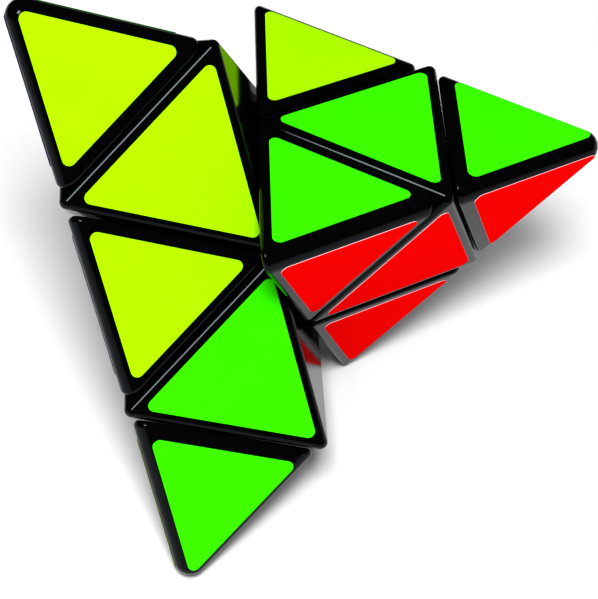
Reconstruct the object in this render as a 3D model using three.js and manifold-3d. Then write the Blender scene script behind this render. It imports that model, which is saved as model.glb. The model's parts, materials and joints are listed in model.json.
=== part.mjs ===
// A pyramid twisty puzzle: a tetrahedron of four tips, four centres and six edge pieces round a core with
// four screwed arms. One corner with its layer has stopped part of the way through a turn.
//
// Units are millimetres. Pieces are made in the puzzle's own frame: its origin is the middle of the
// tetrahedron, and +Z runs through the corner called "right", whose layer is the one that has turned. The
// root group lays the puzzle on its three lowest corners, +Z up, with the origin below its middle.

import * as THREE from "three";
import { ConvexGeometry } from "three/addons/geometries/ConvexGeometry.js";
import { mergeVertices } from "three/addons/utils/BufferGeometryUtils.js";
import Module from "manifold-3d";

const wasm = await Module();
wasm.setup();

// ---------------------------------------------------------------- driving dimensions

const CELL = 35.8; // edge of one small triangle: the sharp tetrahedron is three of them to an edge
const LAYER_TURN = THREE.MathUtils.degToRad(-67); // how far the right corner's layer has turned
const FRONT_TIP_TURN = THREE.MathUtils.degToRad(-1.5); // the front tip stands a little out of line

const LAYER_GAP = 0.5; // between two pieces that meet at a turning plane
const TIP_GAP = 0.4; // between a tip and its centre

const OUTER_RADIUS = 2.7; // rounding of the tetrahedron's own edges, on the tips and edge pieces
const RIM_RADIUS = 0.8; // rounding of the other edges of the tips and edge pieces
const CENTRE_RADIUS = 1.2; // rounding of every edge of a centre

const STICKER_THICKNESS = 0.2;
const STICKER_GLUE = 0.08; // glue under a sticker, left as a gap
const STICKER_CORNER = 1.1; // radius of a sticker's corners
const TIP_STICKER = 26.0; // side of a sticker, measured as if its corners were sharp
const EDGE_STICKER = 26.6;
const CENTRE_STICKER = 30.2;
const EDGE_STICKER_SHIFT = 0.65; // an edge piece's sticker sits this far in from the middle of its triangle

const CORE_RADIUS = 9.6;
const ARM_RADIUS = 3.2;
const ARM_END = 15.6; // heights along an arm are measured from the middle of the puzzle
const PILOT_RADIUS = 1.6; // hole in an arm for the screw
const PILOT_BOTTOM = 5.5;

const FOOT_INNER = 10.2; // an edge piece's foot lies between these two radii
const FOOT_OUTER = 14.4;
const FOOT_ANGLE = THREE.MathUtils.degToRad(68.5); // the foot ends at this angle from both of its axes
const GROOVE_OUTER = 14.9; // the centres are cut back this far for the feet
const GROOVE_ANGLE = THREE.MathUtils.degToRad(71.5);

const BORE_RADIUS = 3.7; // bore of a centre round the arm
const FLANGE_BOTTOM = 16.0; // the flange that the spring presses on
const FLANGE_TOP = 18.5;
const WELL_RADIUS = 4.4; // well for the spring and the screw head
const SOCKET_BOTTOM = 31.2;
const SOCKET_RADIUS = 5.4; // socket for the tip's stem
const SNAP_MIDDLE = 34.0; // height of the stem's snap bead
const SNAP_GROOVE_RADIUS = 6.1;
const SNAP_EASE = 0.2; // the groove is this much taller than the bead, above and below

const STEM_RADIUS = 5.0;
const STEM_BOTTOM = 31.7;
const BEAD_RADIUS = 5.6;
const STEM_BORE = 3.4;
const STEM_BORE_TOP = 44.0;

const SCREW_RADIUS = 1.25;
const SCREW_TIP = 6.5;
const HEAD_RADIUS = 3.3;
const HEAD_BOTTOM = 27.6;
const HEAD_HEIGHT = 2.0;
const HEAD_CHAMFER = 0.9;
const SLOT_WIDTH = 0.7; // cross recess in the screw head
const SLOT_LENGTH = 3.6;
const SLOT_DEPTH = 0.9;

const SPRING_WIRE = 0.6; // wire diameter
const SPRING_RADIUS = 2.6; // to the middle of the wire
const SPRING_TURNS = 4;
const SPRING_CLEARANCE = 0.3; // left under the screw head and above the flange

const OVERRUN = 1; // how far a cut or a joined solid runs past the surface it goes through

const ROUND_SEGMENTS = 16; // facets round a turned surface
const GROOVE_SEGMENTS = 24; // facets round the groove and the feet
const ROUND_STEPS = 3; // facets across the rounding of an outer edge
const RIM_STEPS = 2; // facets across the rounding of a small edge
const STEPS_PER_TURN = 10; // facets along a turn of a spring

// ---------------------------------------------------------------- places on the tetrahedron

const FACE_DISTANCE = (CELL * Math.sqrt(6)) / 4; // from the middle to a face
const CORNER_DISTANCE = 3 * FACE_DISTANCE; // from the middle to a sharp corner
const LAYER_PLANE = FACE_DISTANCE / 3; // from the middle to the plane that a layer turns on
const TIP_PLANE = 5 * LAYER_PLANE; // from the middle to the plane that a tip turns on

// The direction of a corner at an azimuth round +Z, on the far side from the right corner.
function lowerCorner(azimuth) {
  const angle = THREE.MathUtils.degToRad(azimuth);
  const reach = Math.sqrt(8) / 3;
  return new THREE.Vector3(reach * Math.cos(angle), reach * Math.sin(angle), -1 / 3);
}

const CORNERS = {
  right: new THREE.Vector3(0, 0, 1),
  top: lowerCorner(90),
  front: lowerCorner(210),
  back: lowerCorner(330),
};
const NAMES = Object.keys(CORNERS);

// The sticker colour of the face opposite each corner. The top corner's layer has been given one whole turn,
// so its pieces carry the next face's colour.
const FACE_COLOUR = { right: "yellow", top: "red", front: "blue", back: "green" };
const TOP_LAYER_COLOUR = { right: "blue", front: "green", back: "yellow" };

// ---------------------------------------------------------------- materials

const MATERIALS = {
  plastic: new THREE.MeshStandardMaterial({ color: 0x0b0b0d, roughness: 0.22, metalness: 0 }),
  core: new THREE.MeshStandardMaterial({ color: 0xd9d9d4, roughness: 0.5, metalness: 0 }),
  steel: new THREE.MeshStandardMaterial({ color: 0xb4b6ba, roughness: 0.3, metalness: 1 }),
  yellow: new THREE.MeshStandardMaterial({ color: 0xc3fe04, roughness: 0.35, metalness: 0 }),
  green: new THREE.MeshStandardMaterial({ color: 0x42fd02, roughness: 0.35, metalness: 0 }),
  red: new THREE.MeshStandardMaterial({ color: 0xf60c05, roughness: 0.35, metalness: 0 }),
  blue: new THREE.MeshStandardMaterial({ color: 0x0a3fd6, roughness: 0.35, metalness: 0 }),
};

// ---------------------------------------------------------------- solids

// A closed geometry as a solid that can be joined and cut.
function solid(geometry) {
  const plain = geometry.index ? geometry.toNonIndexed() : geometry.clone();
  plain.deleteAttribute("normal");
  plain.deleteAttribute("uv");
  const merged = mergeVertices(plain, 1e-4);
  const corners = merged.index.array;
  const kept = [];
  for (let i = 0; i < corners.length; i += 3) {
    const [a, b, c] = corners.slice(i, i + 3);
    if (a !== b && b !== c && c !== a) kept.push(a, b, c);
  }
  return new wasm.Manifold(
    new wasm.Mesh({
      numProp: 3,
      vertProperties: new Float32Array(merged.attributes.position.array),
      triVerts: new Uint32Array(kept),
    }),
  );
}

// A solid as a geometry that a mesh can hold.
function geometryOf(made) {
  const mesh = made.getMesh();
  const geometry = new THREE.BufferGeometry();
  geometry.setAttribute("position", new THREE.BufferAttribute(mesh.vertProperties, 3));
  geometry.setIndex(new THREE.BufferAttribute(mesh.triVerts, 1));
  geometry.computeVertexNormals();
  return geometry;
}

// A turned solid about a corner's axis. Its profile is a list of [radius, height], running up the outside
// from the axis to the axis.
function turned(profile, axis, segments = ROUND_SEGMENTS) {
  const points = profile.map(([radius, height]) => new THREE.Vector2(radius, height));
  const geometry = new THREE.LatheGeometry(points, segments);
  const up = new THREE.Vector3(0, 1, 0);
  geometry.applyQuaternion(new THREE.Quaternion().setFromUnitVectors(up, axis));
  return solid(geometry);
}

// The arc of a profile from one angle off the axis to another, at a radius from the middle.
function arc(radius, from, to, steps) {
  const points = [];
  for (let i = 0; i <= steps; i++) {
    const angle = from + ((to - from) * i) / steps;
    const reach = angle === 0 || angle === Math.PI ? 0 : radius * Math.sin(angle);
    points.push([reach, radius * Math.cos(angle)]);
  }
  return points;
}

// The profile of a plain rod between two heights.
function rod(radius, bottom, top) {
  return [[0, bottom], [radius, bottom], [radius, top], [0, top]];
}

// A ball about the middle of the puzzle.
function ball(radius, axis = CORNERS.right, segments = GROOVE_SEGMENTS) {
  return turned(arc(radius, Math.PI, 0, segments / 2), axis, segments);
}

// Everything within an angle of a corner's axis and nearer the middle than a radius.
function sector(axis, angle, radius) {
  return turned([[0, 0], ...arc(radius, angle, 0, GROOVE_SEGMENTS / 4)], axis, GROOVE_SEGMENTS);
}

// ---------------------------------------------------------------- rounded pieces

// A plane that bounds a piece: the piece lies where the point's height along normal is under distance.
function plane(normal, distance) {
  return { normal, distance };
}

// The outer face opposite a corner.
function outerFace(name) {
  return plane(CORNERS[name].clone().negate(), FACE_DISTANCE);
}

// The point where three planes meet, each first moved to the distance given for it.
function meet([a, b, c], [da, db, dc]) {
  const bc = new THREE.Vector3().crossVectors(b.normal, c.normal);
  const ca = new THREE.Vector3().crossVectors(c.normal, a.normal);
  const ab = new THREE.Vector3().crossVectors(a.normal, b.normal);
  const volume = a.normal.dot(bc);
  if (Math.abs(volume) < 1e-9) return null;
  return bc.multiplyScalar(da).addScaledVector(ca, db).addScaledVector(ab, dc).divideScalar(volume);
}

function between(a, b, share) {
  const angle = a.angleTo(b);
  return a
    .clone()
    .multiplyScalar(Math.sin((1 - share) * angle))
    .addScaledVector(b, Math.sin(share * angle))
    .normalize();
}

// Points of a corner of three planes, rounded to a ball.
function ballCorner(planes, radius, steps) {
  const centre = meet(planes, planes.map((p) => p.distance - radius));
  const points = [];
  for (let i = 0; i <= steps; i++) {
    for (let j = 0; j <= steps - i; j++) {
      const direction = new THREE.Vector3()
        .addScaledVector(planes[0].normal, i)
        .addScaledVector(planes[1].normal, j)
        .addScaledVector(planes[2].normal, steps - i - j)
        .normalize();
      points.push(direction.multiplyScalar(radius).add(centre));
    }
  }
  return points;
}

// Points of the corner where the outer edge between faces a and b, rounded to OUTER_RADIUS, meets plane c,
// whose own edges are rounded to RIM_RADIUS.
function edgeCorner(a, b, c) {
  const inset = OUTER_RADIUS - RIM_RADIUS;
  const points = [];
  for (let i = 0; i <= ROUND_STEPS; i++) {
    const side = between(a.normal, b.normal, i / ROUND_STEPS);
    const centre = meet(
      [a, b, c],
      [
        a.distance - OUTER_RADIUS + inset * side.dot(a.normal),
        b.distance - OUTER_RADIUS + inset * side.dot(b.normal),
        c.distance - RIM_RADIUS,
      ],
    );
    for (let j = 0; j <= RIM_STEPS; j++) {
      points.push(between(side, c.normal, j / RIM_STEPS).multiplyScalar(RIM_RADIUS).add(centre));
    }
  }
  return points;
}

function hull(points) {
  return solid(new ConvexGeometry(points));
}

// ---------------------------------------------------------------- the puzzle's pieces

function others(...names) {
  return NAMES.filter((name) => !names.includes(name));
}

// A tip: a small rounded tetrahedron with a hollow stem that snaps into its centre.
function tipSolid(name) {
  const axis = CORNERS[name];
  const faces = others(name).map(outerFace);
  const base = plane(axis.clone().negate(), -(TIP_PLANE + TIP_GAP / 2));
  const points = ballCorner(faces, OUTER_RADIUS, ROUND_STEPS);
  faces.forEach((face, i) => points.push(...edgeCorner(face, faces[(i + 1) % 3], base)));
  const beadRise = BEAD_RADIUS - STEM_RADIUS;
  const stem = turned(
    [
      [0, STEM_BOTTOM],
      [STEM_RADIUS, STEM_BOTTOM],
      [STEM_RADIUS, SNAP_MIDDLE - beadRise],
      [BEAD_RADIUS, SNAP_MIDDLE],
      [STEM_RADIUS, SNAP_MIDDLE + beadRise],
      [STEM_RADIUS, TIP_PLANE + OVERRUN],
      [0, TIP_PLANE + OVERRUN],
    ],
    axis,
  );
  const hollow = turned(
    [
      [0, STEM_BOTTOM - OVERRUN],
      [STEM_BORE, STEM_BOTTOM - OVERRUN],
      [STEM_BORE, STEM_BORE_TOP - STEM_BORE],
      [0, STEM_BORE_TOP],
    ],
    axis,
  );
  return hull(points).add(stem).subtract(hollow);
}

// A centre: a rounded octahedron bored along its axis for the arm, the spring, the screw head and the tip's
// stem, and grooved inside for the feet of the edge pieces.
function centreSolid(name) {
  const axis = CORNERS[name];
  const neighbours = others(name);
  const planes = [
    ...neighbours.map(outerFace),
    ...neighbours.map((other) => plane(CORNERS[other], LAYER_PLANE - LAYER_GAP / 2)),
    plane(axis, TIP_PLANE - TIP_GAP / 2),
    plane(axis.clone().negate(), -(LAYER_PLANE + LAYER_GAP / 2)),
  ];
  let body = hull(cornersOf(planes).flatMap((three) => ballCorner(three, CENTRE_RADIUS, RIM_STEPS)));
  const snapHalf = SNAP_GROOVE_RADIUS - SOCKET_RADIUS + SNAP_EASE;
  const bore = turned(
    [
      [0, 0],
      [BORE_RADIUS, 0],
      [BORE_RADIUS, FLANGE_BOTTOM],
      [PILOT_RADIUS, FLANGE_BOTTOM],
      [PILOT_RADIUS, FLANGE_TOP],
      [WELL_RADIUS, FLANGE_TOP],
      [WELL_RADIUS, SOCKET_BOTTOM],
      [SOCKET_RADIUS, SOCKET_BOTTOM],
      [SOCKET_RADIUS, SNAP_MIDDLE - snapHalf],
      [SNAP_GROOVE_RADIUS, SNAP_MIDDLE],
      [SOCKET_RADIUS, SNAP_MIDDLE + snapHalf],
      [SOCKET_RADIUS, TIP_PLANE + OVERRUN],
      [0, TIP_PLANE + OVERRUN],
    ],
    axis,
  );
  body = body.subtract(bore).subtract(ball(FOOT_INNER, axis));
  for (const other of neighbours) {
    body = body.subtract(sector(CORNERS[other], GROOVE_ANGLE, GROOVE_OUTER));
  }
  return body;
}

// Every set of three planes that meet at a corner of the solid that the planes bound.
function cornersOf(planes) {
  const found = [];
  for (let i = 0; i < planes.length; i++) {
    for (let j = i + 1; j < planes.length; j++) {
      for (let k = j + 1; k < planes.length; k++) {
        const three = [planes[i], planes[j], planes[k]];
        const point = meet(three, three.map((p) => p.distance));
        if (point && planes.every((p) => p.normal.dot(point) < p.distance + 1e-6)) found.push(three);
      }
    }
  }
  return found;
}

// An edge piece: a small rounded tetrahedron with a foot that is wider than the gap it comes through.
function edgeSolid(first, second) {
  const [left, right] = others(first, second).map(outerFace);
  const cuts = [first, second].map((name) =>
    plane(CORNERS[name].clone().negate(), -(LAYER_PLANE + LAYER_GAP / 2)),
  );
  const points = [
    ...edgeCorner(left, right, cuts[0]),
    ...edgeCorner(left, right, cuts[1]),
    ...ballCorner([left, ...cuts], RIM_RADIUS, RIM_STEPS),
    ...ballCorner([right, ...cuts], RIM_RADIUS, RIM_STEPS),
  ];
  const middle = CORNERS[first].clone().add(CORNERS[second]).normalize();
  const foot = ball(FOOT_OUTER, middle)
    .subtract(ball(FOOT_INNER, middle))
    .intersect(sector(CORNERS[first], FOOT_ANGLE, CORNER_DISTANCE))
    .intersect(sector(CORNERS[second], FOOT_ANGLE, CORNER_DISTANCE));
  return hull(points).add(foot);
}

// The core: a ball with four drilled arms.
function coreSolid() {
  let body = ball(CORE_RADIUS);
  for (const axis of Object.values(CORNERS)) {
    body = body.add(turned(rod(ARM_RADIUS, 0, ARM_END), axis));
  }
  for (const axis of Object.values(CORNERS)) {
    body = body.subtract(turned(rod(PILOT_RADIUS, PILOT_BOTTOM, ARM_END + OVERRUN), axis));
  }
  return body;
}

// A pan-head screw with a cross recess, standing along +Z.
function screwSolid() {
  const headTop = HEAD_BOTTOM + HEAD_HEIGHT;
  const profile = [
    [0, SCREW_TIP],
    [SCREW_RADIUS, SCREW_TIP + SCREW_RADIUS],
    [SCREW_RADIUS, HEAD_BOTTOM],
    [HEAD_RADIUS, HEAD_BOTTOM],
    [HEAD_RADIUS, headTop - HEAD_CHAMFER],
    [HEAD_RADIUS - HEAD_CHAMFER, headTop],
    [0, headTop],
  ];
  let body = turned(profile, CORNERS.right);
  for (const [x, y] of [[SLOT_LENGTH, SLOT_WIDTH], [SLOT_WIDTH, SLOT_LENGTH]]) {
    const slot = new THREE.BoxGeometry(x, y, 2 * SLOT_DEPTH);
    slot.translate(0, 0, headTop);
    body = body.subtract(solid(slot));
  }
  return body;
}

// The middle line of a spring's wire, standing along +Z.
class Helix extends THREE.Curve {
  getPoint(share, target = new THREE.Vector3()) {
    const start = FLANGE_TOP + SPRING_CLEARANCE + SPRING_WIRE / 2;
    const end = HEAD_BOTTOM - SPRING_CLEARANCE - SPRING_WIRE / 2;
    const angle = 2 * Math.PI * SPRING_TURNS * share;
    return target.set(
      SPRING_RADIUS * Math.cos(angle),
      SPRING_RADIUS * Math.sin(angle),
      start + (end - start) * share,
    );
  }
}

function springSolid() {
  const wire = new THREE.Shape();
  wire.absarc(0, 0, SPRING_WIRE / 2, 0, 2 * Math.PI);
  const steps = STEPS_PER_TURN * SPRING_TURNS;
  return solid(new THREE.ExtrudeGeometry(wire, { steps, curveSegments: 3, extrudePath: new Helix() }));
}

// ---------------------------------------------------------------- stickers

// A point on the sharp tetrahedron: the mean of its corners by weights that add up to three.
function onFace(weights) {
  const point = new THREE.Vector3();
  for (const [name, weight] of Object.entries(weights)) {
    point.addScaledVector(CORNERS[name], (weight * CORNER_DISTANCE) / 3);
  }
  return point;
}

// A triangle with rounded corners, one of them towards +Y.
function stickerShape(side) {
  const reach = side / Math.sqrt(3) - 2 * STICKER_CORNER; // from the middle to a corner's rounding centre
  const shape = new THREE.Shape();
  for (let i = 0; i < 3; i++) {
    const angle = Math.PI / 2 + (i * 2 * Math.PI) / 3;
    const [x, y] = [reach * Math.cos(angle), reach * Math.sin(angle)];
    shape.absarc(x, y, STICKER_CORNER, angle - Math.PI / 3, angle + Math.PI / 3);
  }
  return shape;
}

// A sticker on the face opposite a corner: centred on middle, with one corner pointing towards a point.
function stickerGeometry(side, opposite, middle, towards) {
  const normal = CORNERS[opposite].clone().negate();
  const up = towards.clone().sub(middle).projectOnPlane(normal).normalize();
  const across = new THREE.Vector3().crossVectors(up, normal);
  const geometry = new THREE.ExtrudeGeometry(stickerShape(side), {
    depth: STICKER_THICKNESS,
    bevelEnabled: false,
    curveSegments: 2,
  });
  const place = new THREE.Matrix4().makeBasis(across, up, normal);
  place.setPosition(middle.clone().addScaledVector(normal, STICKER_GLUE));
  return geometry.applyMatrix4(place);
}

function stickerColour(opposite, corners) {
  return corners.includes("top") ? TOP_LAYER_COLOUR[opposite] : FACE_COLOUR[opposite];
}

// ---------------------------------------------------------------- assembly

const puzzle = new THREE.Group();
const turnedLayer = new THREE.Group();
turnedLayer.rotation.z = LAYER_TURN;
puzzle.add(turnedLayer);

function addMesh(group, name, geometry, material) {
  const mesh = new THREE.Mesh(geometry, MATERIALS[material]);
  mesh.name = name;
  group.add(mesh);
  return mesh;
}

function groupOf(...corners) {
  return corners.includes("right") ? turnedLayer : puzzle;
}

// A tip's pieces are in a group of their own, because one tip is turned.
function tipGroup(name) {
  const group = new THREE.Group();
  if (name === "front") group.quaternion.setFromAxisAngle(CORNERS.front, FRONT_TIP_TURN);
  groupOf(name).add(group);
  return group;
}

const screw = geometryOf(screwSolid());
const spring = geometryOf(springSolid());

addMesh(puzzle, "core_spider", geometryOf(coreSolid()), "core");
for (const name of NAMES) {
  const group = groupOf(name);
  const tips = tipGroup(name);
  addMesh(tips, `tip_${name}`, geometryOf(tipSolid(name)), "plastic");
  addMesh(group, `centre_${name}`, geometryOf(centreSolid(name)), "plastic");
  for (const [kind, geometry] of [["screw", screw], ["spring", spring]]) {
    addMesh(puzzle, `${kind}_${name}`, geometry, "steel").quaternion.setFromUnitVectors(
      CORNERS.right,
      CORNERS[name],
    );
  }
  for (const opposite of others(name)) {
    const [a, b] = others(name, opposite);
    const colour = stickerColour(opposite, [name]);
    const corner = onFace({ [name]: 3 });
    const tipMiddle = onFace({ [name]: 7 / 3, [a]: 1 / 3, [b]: 1 / 3 });
    const centreMiddle = onFace({ [name]: 5 / 3, [a]: 2 / 3, [b]: 2 / 3 });
    const tipSticker = stickerGeometry(TIP_STICKER, opposite, tipMiddle, corner);
    const farEdge = onFace({ [a]: 1.5, [b]: 1.5 });
    const centreSticker = stickerGeometry(CENTRE_STICKER, opposite, centreMiddle, farEdge);
    addMesh(tips, `sticker_tip_${name}_${colour}`, tipSticker, colour);
    addMesh(group, `sticker_centre_${name}_${colour}`, centreSticker, colour);
  }
}
NAMES.forEach((first, i) => {
  for (const second of NAMES.slice(i + 1)) {
    const group = groupOf(first, second);
    addMesh(group, `edge_${first}_${second}`, geometryOf(edgeSolid(first, second)), "plastic");
    for (const opposite of others(first, second)) {
      const [third] = others(first, second, opposite);
      const colour = stickerColour(opposite, [first, second]);
      const middle = onFace({ [first]: 4 / 3, [second]: 4 / 3, [third]: 1 / 3 });
      const inner = onFace({ [first]: 1, [second]: 1, [third]: 1 });
      middle.addScaledVector(inner.clone().sub(middle).normalize(), EDGE_STICKER_SHIFT);
      const sticker = stickerGeometry(EDGE_STICKER, opposite, middle, inner);
      addMesh(group, `sticker_edge_${first}_${second}_${colour}`, sticker, colour);
    }
  }
});

// The puzzle rests on the line of the front and back corners' centres and on the lowest corner of the turned
// layer. Both supports are level at one lean of the right corner's axis, which halving an interval finds.
function lowest(names, down) {
  const point = new THREE.Vector3();
  let reach = -Infinity;
  for (const name of names) {
    const mesh = puzzle.getObjectByName(name);
    const position = mesh.geometry.attributes.position;
    for (let i = 0; i < position.count; i++) {
      point.fromBufferAttribute(position, i).applyMatrix4(mesh.matrixWorld);
      reach = Math.max(reach, point.dot(down));
    }
  }
  return reach;
}

function downAt(lean) {
  return new THREE.Vector3(0, -Math.cos(lean), -Math.sin(lean));
}

puzzle.updateMatrixWorld(true);
let [level, tilted] = [0, Math.PI / 4];
for (let i = 0; i < 40; i++) {
  const lean = (level + tilted) / 2;
  const bodyReach = lowest(["centre_front", "centre_back"], downAt(lean));
  const layerReach = lowest(["edge_right_back", "edge_right_front", "edge_right_top"], downAt(lean));
  if (layerReach > bodyReach) level = lean;
  else tilted = lean;
}
const up = downAt(level).negate();
const forward = new THREE.Vector3(1, 0, 0);
const toRight = new THREE.Vector3().crossVectors(forward, up);
const settle = new THREE.Matrix4().makeBasis(toRight, forward, up).transpose();
puzzle.quaternion.setFromRotationMatrix(settle);

puzzle.updateMatrixWorld(true);
const box = new THREE.Box3().setFromObject(puzzle, true);
const middle = box.getCenter(new THREE.Vector3());
puzzle.position.set(-middle.x, -middle.y, -box.min.z);

export default puzzle;
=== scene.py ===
"""A pyramid twisty puzzle of glossy black plastic with coloured stickers.

One of its corners is part of the way through a turn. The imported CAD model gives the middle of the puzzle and
its four axes. Every piece is made again here with smooth roundings, in the same place, and rides on the body
of the CAD node that it stands for. Pieces are made in millimetres about the middle of the puzzle, and are
scaled to metres as they are put in place.
"""

import json
import math

import bmesh
import bpy
import numpy as np
from mathutils import Matrix, Vector

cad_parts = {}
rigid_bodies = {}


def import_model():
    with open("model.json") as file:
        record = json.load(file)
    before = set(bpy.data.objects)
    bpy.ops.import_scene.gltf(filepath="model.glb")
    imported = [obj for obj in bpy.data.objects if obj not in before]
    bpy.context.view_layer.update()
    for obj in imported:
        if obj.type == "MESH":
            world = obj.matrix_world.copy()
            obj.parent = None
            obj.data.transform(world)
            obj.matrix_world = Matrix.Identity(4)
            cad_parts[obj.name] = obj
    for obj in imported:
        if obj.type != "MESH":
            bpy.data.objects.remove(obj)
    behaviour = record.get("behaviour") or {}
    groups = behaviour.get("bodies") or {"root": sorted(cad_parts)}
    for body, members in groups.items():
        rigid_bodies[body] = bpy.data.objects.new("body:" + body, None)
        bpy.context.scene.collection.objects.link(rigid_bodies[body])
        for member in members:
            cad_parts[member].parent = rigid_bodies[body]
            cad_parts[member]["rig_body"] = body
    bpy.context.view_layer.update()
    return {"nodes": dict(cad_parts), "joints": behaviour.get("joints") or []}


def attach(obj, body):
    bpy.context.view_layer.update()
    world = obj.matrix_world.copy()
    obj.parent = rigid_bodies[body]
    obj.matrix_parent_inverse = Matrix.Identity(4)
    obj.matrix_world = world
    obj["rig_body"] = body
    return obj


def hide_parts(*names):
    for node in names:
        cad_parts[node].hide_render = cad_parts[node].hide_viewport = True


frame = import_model()

# ---------------------------------------------------------------- driving dimensions, in millimetres

MM = 0.001

CELL = 35.8  # edge of one small triangle: the sharp tetrahedron has three of them to an edge
LAYER_TURN = math.radians(-67)  # how far the right corner's layer has turned
FRONT_TIP_TURN = math.radians(-1.5)  # the front tip stands a little out of line

LAYER_GAP = 0.5
TIP_GAP = 0.14  # narrower than the CAD gap, because light shows through a wider one

OUTER_RADIUS = 2.7  # rounding of the tetrahedron's own edges, on the tips and edge pieces
RIM_RADIUS = 0.8  # rounding of the other edges of the tips and edge pieces
CENTRE_RADIUS = 1.2  # rounding of every edge of a centre

STICKER_THICKNESS = 0.1
STICKER_EDGE = 0.03  # rounding of a sticker's cut edge
STICKER_CORNER = 1.1
STICKER_SIDE = {"tip": 26.0, "edge": 26.6, "centre": 30.2}
EDGE_STICKER_SHIFT = 0.65  # an edge piece's sticker sits this far in from the middle of its triangle

CORE_RADIUS = 9.6
ARM_RADIUS = 3.2
ARM_END = 15.6  # heights along an arm are measured from the middle of the puzzle
PILOT_RADIUS = 1.6
PILOT_BOTTOM = 5.5

FOOT_INNER = 10.2
FOOT_OUTER = 14.4
FOOT_ANGLE = math.radians(68.5)
GROOVE_OUTER = 14.9
GROOVE_ANGLE = math.radians(71.5)

BORE_RADIUS = 3.7
FLANGE_BOTTOM = 16.0
FLANGE_TOP = 18.5
WELL_RADIUS = 4.4
SOCKET_BOTTOM = 31.2
SOCKET_RADIUS = 5.4
SNAP_MIDDLE = 34.0
SNAP_GROOVE_RADIUS = 6.1
SNAP_EASE = 0.2

STEM_RADIUS = 5.0
STEM_BOTTOM = 31.7
BEAD_RADIUS = 5.6
STEM_BORE = 3.4
STEM_BORE_TOP = 44.0

SCREW_RADIUS = 1.25
SCREW_TIP = 6.5
HEAD_RADIUS = 3.3
HEAD_BOTTOM = 27.6
HEAD_HEIGHT = 2.0
HEAD_ROUNDING = 0.9
SLOT_WIDTH = 0.7
SLOT_LENGTH = 3.6
SLOT_DEPTH = 0.9

SPRING_WIRE = 0.6
SPRING_RADIUS = 2.6
SPRING_TURNS = 4
SPRING_CLEARANCE = 0.3

OVERRUN = 1.0  # how far a cut or a joined solid runs past the surface it goes through

ROUND_SEGMENTS = 72
GROOVE_SEGMENTS = 96
ROUND_STEPS = 12  # facets across the rounding of an outer edge
RIM_STEPS = 6  # facets across the rounding of a small edge
ARC_STEPS = 10  # facets round a sticker's corner
EDGE_STEPS = 3  # facets across a sticker's cut edge
DRAPE_STEPS = 5  # facets across the rim of a sticker that follows a rounded edge
DRAPE_WIDTH = 1.0  # width of that rim
SPRING_STEPS = 36  # rings of the spring's wire in one turn
WIRE_SIDES = 12
FLAT_ANGLE = math.radians(0.4)  # facets that turn by less than this are one flat face

NEARLY = 1e-6  # room for rounding errors, where two numbers should be equal
WELD = 1e-4  # points nearer than this are one

FACE_DISTANCE = CELL * math.sqrt(6) / 4
CORNER_DISTANCE = 3 * FACE_DISTANCE
LAYER_PLANE = FACE_DISTANCE / 3
TIP_PLANE = 5 * LAYER_PLANE
FLAT_REACH = math.sqrt(2) * (FACE_DISTANCE - OUTER_RADIUS)  # from a face's middle to where it starts to round

# ---------------------------------------------------------------- places from the frame

joints = {joint["name"]: joint for joint in frame["joints"]}


def unit(vector):
    vector = np.asarray(vector, float)
    return vector / np.linalg.norm(vector)


MIDDLE = Vector(joints["right_layer_turn"]["pos_m"])
CORNERS = {
    "right": unit(joints["right_layer_turn"]["axis"]),
    "top": unit(joints["tip_top_turn"]["axis"]),
    "front": unit(joints["tip_front_turn"]["axis"]),
    "back": unit(joints["tip_back_turn"]["axis"]),
}
NAMES = list(CORNERS)

# The sticker colour of the face opposite each corner. The top corner's layer has been given one whole turn.
FACE_COLOUR = {"right": "yellow", "top": "red", "front": "blue", "back": "green"}
TOP_LAYER_COLOUR = {"right": "blue", "front": "green", "back": "yellow"}


def others(*names):
    return [name for name in NAMES if name not in names]


def placement(*corners, tip=False):
    """From a piece's millimetres to the frame's metres, with the turns of its layer and its tip."""
    place = Matrix.Translation(MIDDLE)
    if "right" in corners:
        place = place @ Matrix.Rotation(LAYER_TURN, 4, Vector(CORNERS["right"]))
    if tip and "front" in corners:
        place = place @ Matrix.Rotation(FRONT_TIP_TURN, 4, Vector(CORNERS["front"]))
    return place @ Matrix.Scale(MM, 4)


# ---------------------------------------------------------------- rounded solids from planes


def plane(normal, distance):
    """A piece lies where its points' height along normal is under distance."""
    return np.asarray(normal, float), distance


def outer_face(name):
    return plane(-CORNERS[name], FACE_DISTANCE)


def meet(planes, distances):
    return np.linalg.solve(np.array([normal for normal, _ in planes]), np.array(distances))


def between(a, b, share):
    angle = math.acos(max(-1.0, min(1.0, float(np.dot(a, b)))))
    return unit(math.sin((1 - share) * angle) * a + math.sin(share * angle) * b)


def ball_corner(planes, radius, steps):
    """Points of a corner of three planes, rounded to a ball."""
    centre = meet(planes, [distance - radius for _, distance in planes])
    points = []
    for i in range(steps + 1):
        for j in range(steps + 1 - i):
            weights = (i, j, steps - i - j)
            direction = unit(sum(w * normal for w, (normal, _) in zip(weights, planes)))
            points.append(centre + radius * direction)
    return points


def edge_corner(a, b, c):
    """Points of the corner where the outer edge between a and b, rounded to OUTER_RADIUS, meets plane c."""
    inset = OUTER_RADIUS - RIM_RADIUS
    points = []
    for i in range(ROUND_STEPS + 1):
        side = between(a[0], b[0], i / ROUND_STEPS)
        distances = [
            a[1] - OUTER_RADIUS + inset * side.dot(a[0]),
            b[1] - OUTER_RADIUS + inset * side.dot(b[0]),
            c[1] - RIM_RADIUS,
        ]
        centre = meet([a, b, c], distances)
        for j in range(RIM_STEPS + 1):
            points.append(centre + RIM_RADIUS * between(side, c[0], j / RIM_STEPS))
    return points


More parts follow.
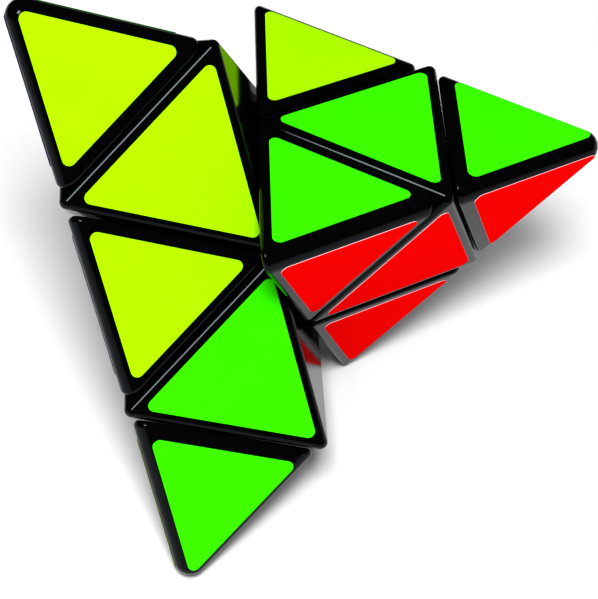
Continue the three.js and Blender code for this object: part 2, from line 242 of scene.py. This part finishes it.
def corners_of(planes):
    """Every set of three planes that meet at a corner of the solid that the planes bound."""
    found = []
    count = len(planes)
    for i in range(count):
        for j in range(i + 1, count):
            for k in range(j + 1, count):
                three = [planes[i], planes[j], planes[k]]
                if abs(np.linalg.det(np.array([normal for normal, _ in three]))) < NEARLY:
                    continue
                point = meet(three, [distance for _, distance in three])
                if all(normal.dot(point) < distance + NEARLY for normal, distance in planes):
                    found.append(three)
    return found


# ---------------------------------------------------------------- meshes


def object_from(name, bm):
    mesh = bpy.data.meshes.new(name)
    bm.to_mesh(mesh)
    bm.free()
    obj = bpy.data.objects.new(name, mesh)
    bpy.context.scene.collection.objects.link(obj)
    return obj


def remove(obj):
    mesh = obj.data
    bpy.data.objects.remove(obj)
    bpy.data.meshes.remove(mesh)


def hull(points):
    """The convex hull of some points, with its flat faces left whole."""
    bm = bmesh.new()
    for point in points:
        bm.verts.new(Vector(point))
    bmesh.ops.remove_doubles(bm, verts=bm.verts, dist=WELD)
    made = bmesh.ops.convex_hull(bm, input=bm.verts)
    spare = {g for g in made["geom_interior"] + made["geom_unused"] if isinstance(g, bmesh.types.BMVert)}
    bmesh.ops.delete(bm, geom=[v for v in spare if v.is_valid], context="VERTS")
    bmesh.ops.dissolve_limit(bm, angle_limit=FLAT_ANGLE, verts=bm.verts, edges=bm.edges)
    bmesh.ops.recalc_face_normals(bm, faces=bm.faces)
    return object_from("hull", bm)


def upright_to(axis):
    """The turn that takes +Z to an axis."""
    return Vector((0, 0, 1)).rotation_difference(Vector(axis)).to_matrix()


def arc(radius, start, end, steps):
    """Profile points at a radius from the middle, from one angle off the axis to another."""
    angles = [start + (end - start) * i / steps for i in range(steps + 1)]
    return [(radius * math.sin(angle), radius * math.cos(angle)) for angle in angles]


def rod(radius, bottom, top):
    return [(0, bottom), (radius, bottom), (radius, top), (0, top)]


def turned(profile, axis, segments=ROUND_SEGMENTS):
    """A solid turned about an axis through the middle, from a profile of (radius, height) points."""
    bm = bmesh.new()
    rings = []
    for radius, height in profile:
        if radius < NEARLY:
            rings.append([bm.verts.new((0, 0, height))])
            continue
        angles = [2 * math.pi * i / segments for i in range(segments)]
        rings.append([bm.verts.new((radius * math.cos(t), radius * math.sin(t), height)) for t in angles])
    for low, high in zip(rings, rings[1:]):
        for i in range(segments):
            j = (i + 1) % segments
            corners = [low[i % len(low)], low[j % len(low)], high[j % len(high)], high[i % len(high)]]
            bm.faces.new(list(dict.fromkeys(corners)))
    bmesh.ops.recalc_face_normals(bm, faces=bm.faces)
    bmesh.ops.rotate(bm, matrix=upright_to(axis), verts=bm.verts)
    return object_from("turned", bm)


def ball(radius, axis):
    return turned(arc(radius, math.pi, 0, GROOVE_SEGMENTS // 2), axis, GROOVE_SEGMENTS)


def sector(axis, angle, radius):
    """Everything within an angle of an axis and nearer the middle than a radius."""
    return turned([(0, 0), *arc(radius, angle, 0, GROOVE_SEGMENTS // 4)], axis, GROOVE_SEGMENTS)


def combine(base, operation, tool):
    """Joins a tool to base, cuts it away or keeps only what both hold. The tool is used up."""
    modifier = base.modifiers.new("combine", "BOOLEAN")
    modifier.operation = operation
    modifier.solver = "MANIFOLD"
    modifier.object = tool
    bpy.context.view_layer.update()
    made = bpy.data.meshes.new_from_object(base.evaluated_get(bpy.context.evaluated_depsgraph_get()))
    base.modifiers.clear()
    old, base.data = base.data, made
    bpy.data.meshes.remove(old)
    remove(tool)
    return base


# ---------------------------------------------------------------- the puzzle's pieces


def tip_solid(name):
    axis = CORNERS[name]
    faces = [outer_face(other) for other in others(name)]
    base = plane(-axis, -(TIP_PLANE + TIP_GAP / 2))
    points = ball_corner(faces, OUTER_RADIUS, ROUND_STEPS)
    for i, face in enumerate(faces):
        points += edge_corner(face, faces[(i + 1) % 3], base)
    rise = BEAD_RADIUS - STEM_RADIUS
    stem = [
        (0, STEM_BOTTOM),
        (STEM_RADIUS, STEM_BOTTOM),
        (STEM_RADIUS, SNAP_MIDDLE - rise),
        (BEAD_RADIUS, SNAP_MIDDLE),
        (STEM_RADIUS, SNAP_MIDDLE + rise),
        (STEM_RADIUS, TIP_PLANE + OVERRUN),
        (0, TIP_PLANE + OVERRUN),
    ]
    hollow = [
        (0, STEM_BOTTOM - OVERRUN),
        (STEM_BORE, STEM_BOTTOM - OVERRUN),
        (STEM_BORE, STEM_BORE_TOP - STEM_BORE),
        (0, STEM_BORE_TOP),
    ]
    body = combine(hull(points), "UNION", turned(stem, axis))
    return combine(body, "DIFFERENCE", turned(hollow, axis))


def centre_solid(name):
    axis = CORNERS[name]
    planes = [
        *[outer_face(other) for other in others(name)],
        *[plane(CORNERS[other], LAYER_PLANE - LAYER_GAP / 2) for other in others(name)],
        plane(axis, TIP_PLANE - TIP_GAP / 2),
        plane(-axis, -(LAYER_PLANE + LAYER_GAP / 2)),
    ]
    points = [point for three in corners_of(planes) for point in ball_corner(three, CENTRE_RADIUS, RIM_STEPS)]
    snap_half = SNAP_GROOVE_RADIUS - SOCKET_RADIUS + SNAP_EASE
    bore = [
        (0, 0),
        (BORE_RADIUS, 0),
        (BORE_RADIUS, FLANGE_BOTTOM),
        (PILOT_RADIUS, FLANGE_BOTTOM),
        (PILOT_RADIUS, FLANGE_TOP),
        (WELL_RADIUS, FLANGE_TOP),
        (WELL_RADIUS, SOCKET_BOTTOM),
        (SOCKET_RADIUS, SOCKET_BOTTOM),
        (SOCKET_RADIUS, SNAP_MIDDLE - snap_half),
        (SNAP_GROOVE_RADIUS, SNAP_MIDDLE),
        (SOCKET_RADIUS, SNAP_MIDDLE + snap_half),
        (SOCKET_RADIUS, TIP_PLANE + OVERRUN),
        (0, TIP_PLANE + OVERRUN),
    ]
    body = combine(hull(points), "DIFFERENCE", turned(bore, axis))
    combine(body, "DIFFERENCE", ball(FOOT_INNER, axis))
    for other in others(name):
        combine(body, "DIFFERENCE", sector(CORNERS[other], GROOVE_ANGLE, GROOVE_OUTER))
    return body


def edge_solid(first, second):
    left, right = [outer_face(other) for other in others(first, second)]
    cuts = [plane(-CORNERS[name], -(LAYER_PLANE + LAYER_GAP / 2)) for name in (first, second)]
    points = [
        *edge_corner(left, right, cuts[0]),
        *edge_corner(left, right, cuts[1]),
        *ball_corner([left, *cuts], RIM_RADIUS, RIM_STEPS),
        *ball_corner([right, *cuts], RIM_RADIUS, RIM_STEPS),
    ]
    middle = unit(CORNERS[first] + CORNERS[second])
    foot = combine(ball(FOOT_OUTER, middle), "DIFFERENCE", ball(FOOT_INNER, middle))
    for name in (first, second):
        combine(foot, "INTERSECT", sector(CORNERS[name], FOOT_ANGLE, CORNER_DISTANCE))
    return combine(hull(points), "UNION", foot)


def core_solid():
    body = ball(CORE_RADIUS, CORNERS["right"])
    for axis in CORNERS.values():
        combine(body, "UNION", turned(rod(ARM_RADIUS, 0, ARM_END), axis))
    for axis in CORNERS.values():
        combine(body, "DIFFERENCE", turned(rod(PILOT_RADIUS, PILOT_BOTTOM, ARM_END + OVERRUN), axis))
    return body


def screw_solid(axis):
    """A pan-head screw with a cross recess."""
    head_top = HEAD_BOTTOM + HEAD_HEIGHT
    quarter = [math.pi / 2 * i / RIM_STEPS for i in range(RIM_STEPS + 1)]
    rounding = [
        (HEAD_RADIUS - HEAD_ROUNDING * (1 - math.cos(t)), head_top - HEAD_ROUNDING * (1 - math.sin(t)))
        for t in quarter
    ]
    profile = [
        (0, SCREW_TIP),
        (SCREW_RADIUS, SCREW_TIP + SCREW_RADIUS),
        (SCREW_RADIUS, HEAD_BOTTOM),
        (HEAD_RADIUS, HEAD_BOTTOM),
        *rounding,
        (0, head_top),
    ]
    body = turned(profile, axis)
    for size in ((SLOT_LENGTH, SLOT_WIDTH), (SLOT_WIDTH, SLOT_LENGTH)):
        bm = bmesh.new()
        bmesh.ops.create_cube(bm, size=1)
        bmesh.ops.scale(bm, vec=(*size, 2 * SLOT_DEPTH), verts=bm.verts)
        bmesh.ops.translate(bm, vec=(0, 0, head_top), verts=bm.verts)
        bmesh.ops.rotate(bm, matrix=upright_to(axis), verts=bm.verts)
        combine(body, "DIFFERENCE", object_from("slot", bm))
    return body


def spring_solid(axis):
    """A coil spring between the flange and the screw head, its wire closed at both ends."""
    start = FLANGE_TOP + SPRING_CLEARANCE + SPRING_WIRE / 2
    end = HEAD_BOTTOM - SPRING_CLEARANCE - SPRING_WIRE / 2
    steps = SPRING_STEPS * SPRING_TURNS
    bm = bmesh.new()
    rings = []
    for i in range(steps + 1):
        angle = 2 * math.pi * SPRING_TURNS * i / steps
        outward = Vector((math.cos(angle), math.sin(angle), 0))
        centre = SPRING_RADIUS * outward + Vector((0, 0, start + (end - start) * i / steps))
        ring = []
        for j in range(WIRE_SIDES):
            around = 2 * math.pi * j / WIRE_SIDES
            offset = outward * math.cos(around) + Vector((0, 0, math.sin(around)))
            ring.append(bm.verts.new(centre + SPRING_WIRE / 2 * offset))
        rings.append(ring)
    for low, high in zip(rings, rings[1:]):
        for j in range(WIRE_SIDES):
            k = (j + 1) % WIRE_SIDES
            bm.faces.new((low[j], low[k], high[k], high[j]))
    bm.faces.new(rings[0])
    bm.faces.new(rings[-1])
    bmesh.ops.recalc_face_normals(bm, faces=bm.faces)
    bmesh.ops.rotate(bm, matrix=upright_to(axis), verts=bm.verts)
    return object_from("spring", bm)


# ---------------------------------------------------------------- stickers


def on_face(weights):
    """A point on the sharp tetrahedron: the mean of its corners by weights that add up to three."""
    return sum(CORNERS[name] * weight * CORNER_DISTANCE / 3 for name, weight in weights.items())


def sticker_outline(side, inset):
    """A triangle with rounded corners, one of them towards +Y, drawn in by an inset."""
    reach = side / math.sqrt(3) - 2 * STICKER_CORNER
    points = []
    for i in range(3):
        angle = math.pi / 2 + i * 2 * math.pi / 3
        for j in range(ARC_STEPS + 1):
            around = angle - math.pi / 3 + 2 * math.pi / 3 * j / ARC_STEPS
            x = reach * math.cos(angle) + (STICKER_CORNER - inset) * math.cos(around)
            y = reach * math.sin(angle) + (STICKER_CORNER - inset) * math.sin(around)
            points.append((x, y))
    return points


def draped(point, opposite, height):
    """A point on the face opposite a corner, laid on the puzzle's rounded edges and raised by a height.

    It hangs over up to two edges of the face, whose outward directions are 120 degrees apart.
    """
    normal = -CORNERS[opposite]
    outward = {name: unit(-CORNERS[name] + CORNERS[name].dot(normal) * normal) for name in others(opposite)}
    over = {name: point.dot(way) - FLAT_REACH for name, way in outward.items()}
    first, second = sorted(over, key=over.get, reverse=True)[:2]
    if over[first] <= 0:
        return point + height * normal
    hang = over[first] * outward[first]
    if over[second] + over[first] / 2 > 0:
        hang = 4 / 3 * (over[first] + over[second] / 2) * outward[first]
        hang = hang + 4 / 3 * (over[second] + over[first] / 2) * outward[second]
    sine = np.linalg.norm(hang) / OUTER_RADIUS
    slope = math.sqrt(1 - sine * sine)
    return point - OUTER_RADIUS * (1 - slope) * normal + height * (slope * normal + hang / OUTER_RADIUS)


def sticker_solid(side, opposite, middle, towards):
    """A sticker on the face opposite a corner, with softly rounded cut edges, one corner towards a point.

    Its rings go from the rim of its underside out to the cut edge, up that edge and in over the top.
    """
    normal = -CORNERS[opposite]
    up = towards - middle
    up = unit(up - up.dot(normal) * normal)
    across = np.cross(up, normal)
    insets = [DRAPE_WIDTH * i / DRAPE_STEPS for i in range(DRAPE_STEPS, 0, -1)]
    rows = [(inset, 0.0) for inset in insets] + [(0, 0.0)]
    for i in range(EDGE_STEPS + 1):
        angle = math.pi / 2 * i / EDGE_STEPS
        drop = STICKER_EDGE * (1 - math.sin(angle))
        rows.append((STICKER_EDGE * (1 - math.cos(angle)), STICKER_THICKNESS - drop))
    rows += [(inset, STICKER_THICKNESS) for inset in reversed(insets)]
    bm = bmesh.new()
    cut_edge = bm.faces.layers.float.new("cut_edge")
    rings = []
    for inset, height in rows:
        flat = [middle + x * across + y * up for x, y in sticker_outline(side, inset)]
        rings.append([bm.verts.new(Vector(draped(point, opposite, height))) for point in flat])
    count = len(rings[0])
    for row, (low, high) in enumerate(zip(rings, rings[1:])):
        for i in range(count):
            j = (i + 1) % count
            face = bm.faces.new((low[i], low[j], high[j], high[i]))
            face[cut_edge] = float(DRAPE_STEPS <= row <= DRAPE_STEPS + EDGE_STEPS)
    bm.faces.new(rings[0])
    bm.faces.new(rings[-1])
    bmesh.ops.recalc_face_normals(bm, faces=bm.faces)
    return object_from("sticker", bm)


# ---------------------------------------------------------------- materials

PRINT_UNEVENNESS = 0.965  # the darkest tone of a sticker against its brightest
PLATING_UNEVENNESS = 0.88
GRAIN_ROUGHNESS = 0.14  # how much rougher the steel's grain gets in places


def linear(*channels):
    """A colour given as sRGB values from 0 to 255, as the linear colour that shaders take."""
    values = [channel / 255 for channel in channels]
    return tuple(v / 12.92 if v <= 0.04045 else ((v + 0.055) / 1.055) ** 2.4 for v in values)


class Surface:
    """A material with one Principled shader, and the procedural nodes that feed it."""

    def __init__(self, name):
        self.material = bpy.data.materials.new(name)
        self.material.use_nodes = True
        self.nodes = self.material.node_tree.nodes
        self.shader = self.nodes["Principled BSDF"]
        self.place = self.nodes.new("ShaderNodeTexCoord").outputs["Object"]

    def link(self, output, target):
        self.material.node_tree.links.new(output, target)

    def feed(self, socket, output):
        self.link(output, self.shader.inputs[socket])

    def constant(self, socket, value):
        self.shader.inputs[socket].default_value = value

    def noise(self, scale, detail, roughness, stretch=None):
        """Noise from 0 to 1, with scale features to a metre and fewer along a stretched axis."""
        texture = self.nodes.new("ShaderNodeTexNoise")
        texture.inputs["Scale"].default_value = scale
        texture.inputs["Detail"].default_value = detail
        texture.inputs["Roughness"].default_value = roughness
        place = self.place
        if stretch:
            mapping = self.nodes.new("ShaderNodeMapping")
            mapping.inputs["Scale"].default_value = stretch
            self.link(place, mapping.inputs["Vector"])
            place = mapping.outputs["Vector"]
        self.link(place, texture.inputs["Vector"])
        return texture.outputs["Fac"]

    def ramp(self, value, low, high, start=0.3, end=0.7):
        """A value that goes from low to high as the input goes from start to end."""
        node = self.nodes.new("ShaderNodeMapRange")
        node.inputs["From Min"].default_value = start
        node.inputs["From Max"].default_value = end
        node.inputs["To Min"].default_value = low
        node.inputs["To Max"].default_value = high
        self.link(value, node.inputs["Value"])
        return node.outputs["Result"]

    def mix(self, share, low, high):
        """A colour between two. Each is a colour or another node's output."""
        node = self.nodes.new("ShaderNodeMix")
        node.data_type = "RGBA"
        self.link(share, node.inputs["Factor"])
        for socket, value in ((node.inputs[6], low), (node.inputs[7], high)):
            if isinstance(value, bpy.types.NodeSocket):
                self.link(value, socket)
            else:
                socket.default_value = (*value, 1)
        return node.outputs[2]

    def add(self, a, b):
        node = self.nodes.new("ShaderNodeMath")
        self.link(a, node.inputs[0])
        self.link(b, node.inputs[1])
        return node.outputs[0]

    def bump(self, height, strength, distance):
        node = self.nodes.new("ShaderNodeBump")
        node.inputs["Strength"].default_value = strength
        node.inputs["Distance"].default_value = distance
        self.link(height, node.inputs["Height"])
        self.link(node.outputs["Normal"], self.shader.inputs["Normal"])


def black_plastic():
    """Polished black plastic: faint flow marks, handling smears and scuffs, and a slightly wavy skin."""
    surface = Surface("black_plastic")
    flow = surface.ramp(surface.noise(38, detail=3, roughness=0.55), 0, 1)
    surface.feed("Base Color", surface.mix(flow, (0.0024, 0.0025, 0.0029), (0.0045, 0.0046, 0.005)))
    smears = surface.ramp(surface.noise(70, detail=4, roughness=0.6), 0.06, 0.1)
    scratches = surface.noise(650, detail=2, roughness=0.5, stretch=(1, 0.25, 1))
    scuffs = surface.ramp(scratches, 0, 0.07, start=0.6, end=0.8)
    surface.feed("Roughness", surface.add(smears, scuffs))
    surface.constant("IOR", 1.33)
    # The blue specular tint gives every reflection and glint a cool cast. That cast belongs to the light, and
    # is painted into the plastic here.
    surface.constant("Specular Tint", (0.84, 0.97, 1.0, 1))
    surface.bump(surface.noise(420, detail=3, roughness=0.5), strength=0.25, distance=0.00003)
    return surface.material


def sticker_vinyl(name, colour, edge):
    """Bright matt vinyl: a little uneven in tone, with its cut edge painted another colour: a pale painted
    highlight on the red, painted shade on the others.
    """
    surface = Surface(name)
    tone = surface.ramp(surface.noise(55, detail=3, roughness=0.6), 0, 1)
    printed = surface.mix(tone, [channel * PRINT_UNEVENNESS for channel in colour], colour)
    rim = surface.nodes.new("ShaderNodeAttribute")
    rim.attribute_name = "cut_edge"
    # The cut edge takes the edge colour: a painted highlight on the red stickers, painted shade on the others.
    surface.feed("Base Color", surface.mix(rim.outputs["Fac"], printed, edge))
    surface.feed("Roughness", surface.ramp(surface.noise(240, detail=3, roughness=0.6), 0.3, 0.42))
    surface.constant("IOR", 1.46)
    surface.constant("Specular IOR Level", 0.0005)
    surface.bump(surface.noise(900, detail=3, roughness=0.5), strength=0.2, distance=0.00001)
    return surface.material


def natural_plastic():
    """The core's uncoloured moulding plastic: milky, with a soft sheen."""
    surface = Surface("natural_plastic")
    flow = surface.ramp(surface.noise(60, detail=3, roughness=0.6), 0, 1)
    surface.feed("Base Color", surface.mix(flow, (0.62, 0.61, 0.57), (0.7, 0.69, 0.65)))
    surface.feed("Roughness", surface.ramp(surface.noise(300, detail=3, roughness=0.6), 0.42, 0.55))
    surface.constant("Subsurface Weight", 0.15)
    surface.constant("Subsurface Scale", 0.002)
    surface.bump(surface.noise(1500, detail=3, roughness=0.5), strength=0.2, distance=0.00002)
    return surface.material


def plated_steel(name, tint, rough):
    """Zinc-plated steel: a fine grain and a faint uneven tint."""
    surface = Surface(name)
    tone = surface.ramp(surface.noise(500, detail=3, roughness=0.6), 0, 1)
    surface.feed("Base Color", surface.mix(tone, [channel * PLATING_UNEVENNESS for channel in tint], tint))
    grain = surface.noise(2200, detail=2, roughness=0.5)
    surface.feed("Roughness", surface.ramp(grain, rough, rough + GRAIN_ROUGHNESS))
    surface.constant("Metallic", 1.0)
    surface.bump(surface.noise(4000, detail=2, roughness=0.5), strength=0.15, distance=0.00001)
    return surface.material


PLASTIC = black_plastic()
CORE = natural_plastic()
SCREW_STEEL = plated_steel("screw_zinc", (0.66, 0.67, 0.7), 0.22)
SPRING_STEEL = plated_steel("spring_wire", (0.55, 0.56, 0.58), 0.3)
# The second colour of each is its cut edge's: the pale pink on the red is a painted highlight, and the darker
# yellow, green and blue edges are painted shade.
VINYL = {
    "yellow": sticker_vinyl("vinyl_yellow", linear(172, 244, 4), linear(90, 110, 8)),
    "green": sticker_vinyl("vinyl_green", linear(76, 244, 4), linear(18, 90, 8)),
    "red": sticker_vinyl("vinyl_red", linear(255, 9, 6), linear(255, 205, 212)),
    "blue": sticker_vinyl("vinyl_blue", linear(10, 60, 214), linear(4, 18, 60)),
}

# ---------------------------------------------------------------- assembly


PIECE_CREASE = math.radians(30)  # edges sharper than this stay sharp in the shading
STICKER_CREASE = math.radians(60)


def finish_piece(obj, node, material, place, crease=PIECE_CREASE):
    """Names a piece, puts it where its CAD node is, gives it its material and makes it stand for the node."""
    obj.name = obj.data.name = f"look_{node}"
    obj.data.transform(place)
    obj.data.materials.clear()
    obj.data.materials.append(material)
    obj.data.shade_smooth()
    obj.data.set_sharp_from_angle(angle=crease)
    weighted = obj.modifiers.new("even_shading", "WEIGHTED_NORMAL")
    weighted.keep_sharp = True
    weighted.weight = 100
    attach(obj, frame["nodes"][node]["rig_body"])
    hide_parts(node)


def add_sticker(kind, opposite, middle, towards, corners):
    """Adds the sticker of a piece of one or two corners, on the face opposite another corner."""
    colour = (TOP_LAYER_COLOUR if "top" in corners else FACE_COLOUR)[opposite]
    obj = sticker_solid(STICKER_SIDE[kind], opposite, middle, towards)
    node = f"sticker_{kind}_{'_'.join(corners)}_{colour}"
    place = placement(*corners, tip=kind == "tip")
    finish_piece(obj, node, VINYL[colour], place, STICKER_CREASE)
    obj.visible_diffuse = False  # so that the bright vinyl doesn't tint the floor


finish_piece(core_solid(), "core_spider", CORE, placement())
for name in NAMES:
    finish_piece(tip_solid(name), f"tip_{name}", PLASTIC, placement(name, tip=True))
    finish_piece(centre_solid(name), f"centre_{name}", PLASTIC, placement(name))
    finish_piece(screw_solid(CORNERS[name]), f"screw_{name}", SCREW_STEEL, placement())
    finish_piece(spring_solid(CORNERS[name]), f"spring_{name}", SPRING_STEEL, placement())
    for opposite in others(name):
        a, b = others(name, opposite)
        tip_middle = on_face({name: 7 / 3, a: 1 / 3, b: 1 / 3})
        add_sticker("tip", opposite, tip_middle, on_face({name: 3}), [name])
        centre_middle = on_face({name: 5 / 3, a: 2 / 3, b: 2 / 3})
        add_sticker("centre", opposite, centre_middle, on_face({a: 1.5, b: 1.5}), [name])
for i, first in enumerate(NAMES):
    for second in NAMES[i + 1 :]:
        place = placement(first, second)
        finish_piece(edge_solid(first, second), f"edge_{first}_{second}", PLASTIC, place)
        for opposite in others(first, second):
            third = others(first, second, opposite)[0]
            middle = on_face({first: 4 / 3, second: 4 / 3, third: 1 / 3})
            inner = on_face({first: 1, second: 1, third: 1})
            middle = middle + EDGE_STICKER_SHIFT * unit(inner - middle)
            add_sticker("edge", opposite, middle, inner, [first, second])

# ---------------------------------------------------------------- floor, light and camera


WHITE = (1, 1, 1, 1)
ROOM_LIGHT = (0.27, 0.27, 0.273, 1)  # what lights the matt surfaces from all round
ROOM_REFLECTION = (0.02, 0.02, 0.022, 1)  # what the glossy ones mirror
FLOOR_SIZE = 6  # metres to a side


def make_world():
    """A studio that the camera sees as white, matt surfaces as soft light and glossy ones as dark walls."""
    world = bpy.data.worlds.new("studio")
    bpy.context.scene.world = world
    world.use_nodes = True
    tree = world.node_tree
    background = tree.nodes["Background"]
    path = tree.nodes.new("ShaderNodeLightPath")
    lit = tree.nodes.new("ShaderNodeMix")
    lit.data_type = "RGBA"
    lit.inputs[6].default_value = ROOM_REFLECTION
    lit.inputs[7].default_value = ROOM_LIGHT
    tree.links.new(path.outputs["Is Diffuse Ray"], lit.inputs["Factor"])
    seen = tree.nodes.new("ShaderNodeMix")
    seen.data_type = "RGBA"
    seen.inputs[7].default_value = WHITE
    tree.links.new(lit.outputs[2], seen.inputs[6])
    tree.links.new(path.outputs["Is Camera Ray"], seen.inputs["Factor"])
    tree.links.new(seen.outputs[2], background.inputs["Color"])


def area_light(name, direction, distance, size, power):
    """A square softbox that faces the puzzle's middle. Its distance and size are in metres, its power watts."""
    light = bpy.data.lights.new(name, "AREA")
    light.shape = "SQUARE"
    light.size = size
    light.energy = power
    obj = bpy.data.objects.new(name, light)
    bpy.context.scene.collection.objects.link(obj)
    direction = Vector(direction).normalized()
    obj.location = MIDDLE + direction * distance
    obj.rotation_mode = "QUATERNION"
    obj.rotation_quaternion = direction.to_track_quat("Z", "Y")
    return obj


def make_floor():
    bm = bmesh.new()
    bmesh.ops.create_grid(bm, x_segments=1, y_segments=1, size=FLOOR_SIZE / 2)
    obj = object_from("studio_floor", bm)
    surface = Surface("floor_paper")
    tone = surface.ramp(surface.noise(9, detail=3, roughness=0.6), 0, 1)
    surface.feed("Base Color", surface.mix(tone, (0.93, 0.93, 0.932), (0.94, 0.94, 0.942)))
    surface.feed("Roughness", surface.ramp(surface.noise(60, detail=2, roughness=0.5), 0.7, 0.8))
    surface.constant("Specular IOR Level", 0.2)
    obj.data.materials.append(surface.material)


# The camera's place in cells from the puzzle's middle, and its view and up directions, all along the puzzle's
# own axes. The last axis is the right corner's, and the second is square to it, towards the top corner.
CAMERA_PLACE = (-5.9215, 6.4285, 1.5296)
CAMERA_VIEW = (0.6337, -0.75821, -0.15341)
CAMERA_UP = (0.77108, 0.60317, 0.20402)
CAMERA_LENS = 112.43
CAMERA_SENSOR = 36
CAMERA_NEAR = 0.01

own_z = CORNERS["right"]
own_y = unit(CORNERS["top"] + CORNERS["right"] / 3)
own_axes = Matrix([np.cross(own_y, own_z), own_y, own_z]).transposed()

camera = bpy.data.objects.new("camera", bpy.data.cameras.new("camera"))
bpy.context.scene.collection.objects.link(camera)
camera.data.lens = CAMERA_LENS
camera.data.sensor_width = CAMERA_SENSOR
camera.data.clip_start = CAMERA_NEAR
view, up = own_axes @ Vector(CAMERA_VIEW), own_axes @ Vector(CAMERA_UP)
turn = Matrix([view.cross(up), up, -view]).transposed().to_4x4()
camera.matrix_world = Matrix.Translation(MIDDLE + own_axes @ Vector(CAMERA_PLACE) * CELL * MM) @ turn
bpy.context.scene.camera = camera

make_floor()
make_world()
# One softbox gives the colours and the shadow, and the other only the thin glints along the black rims.
area_light("softbox_front", (-0.005, -0.45, 0.893), 0.6, 0.17, 2.75).visible_glossy = False
area_light("softbox_left", (-0.38, -0.34, 0.86), 0.9, 0.3, 3.6).visible_diffuse = False
bpy.context.scene.view_settings.view_transform = "Standard"
bpy.context.scene.view_settings.look = "High Contrast"
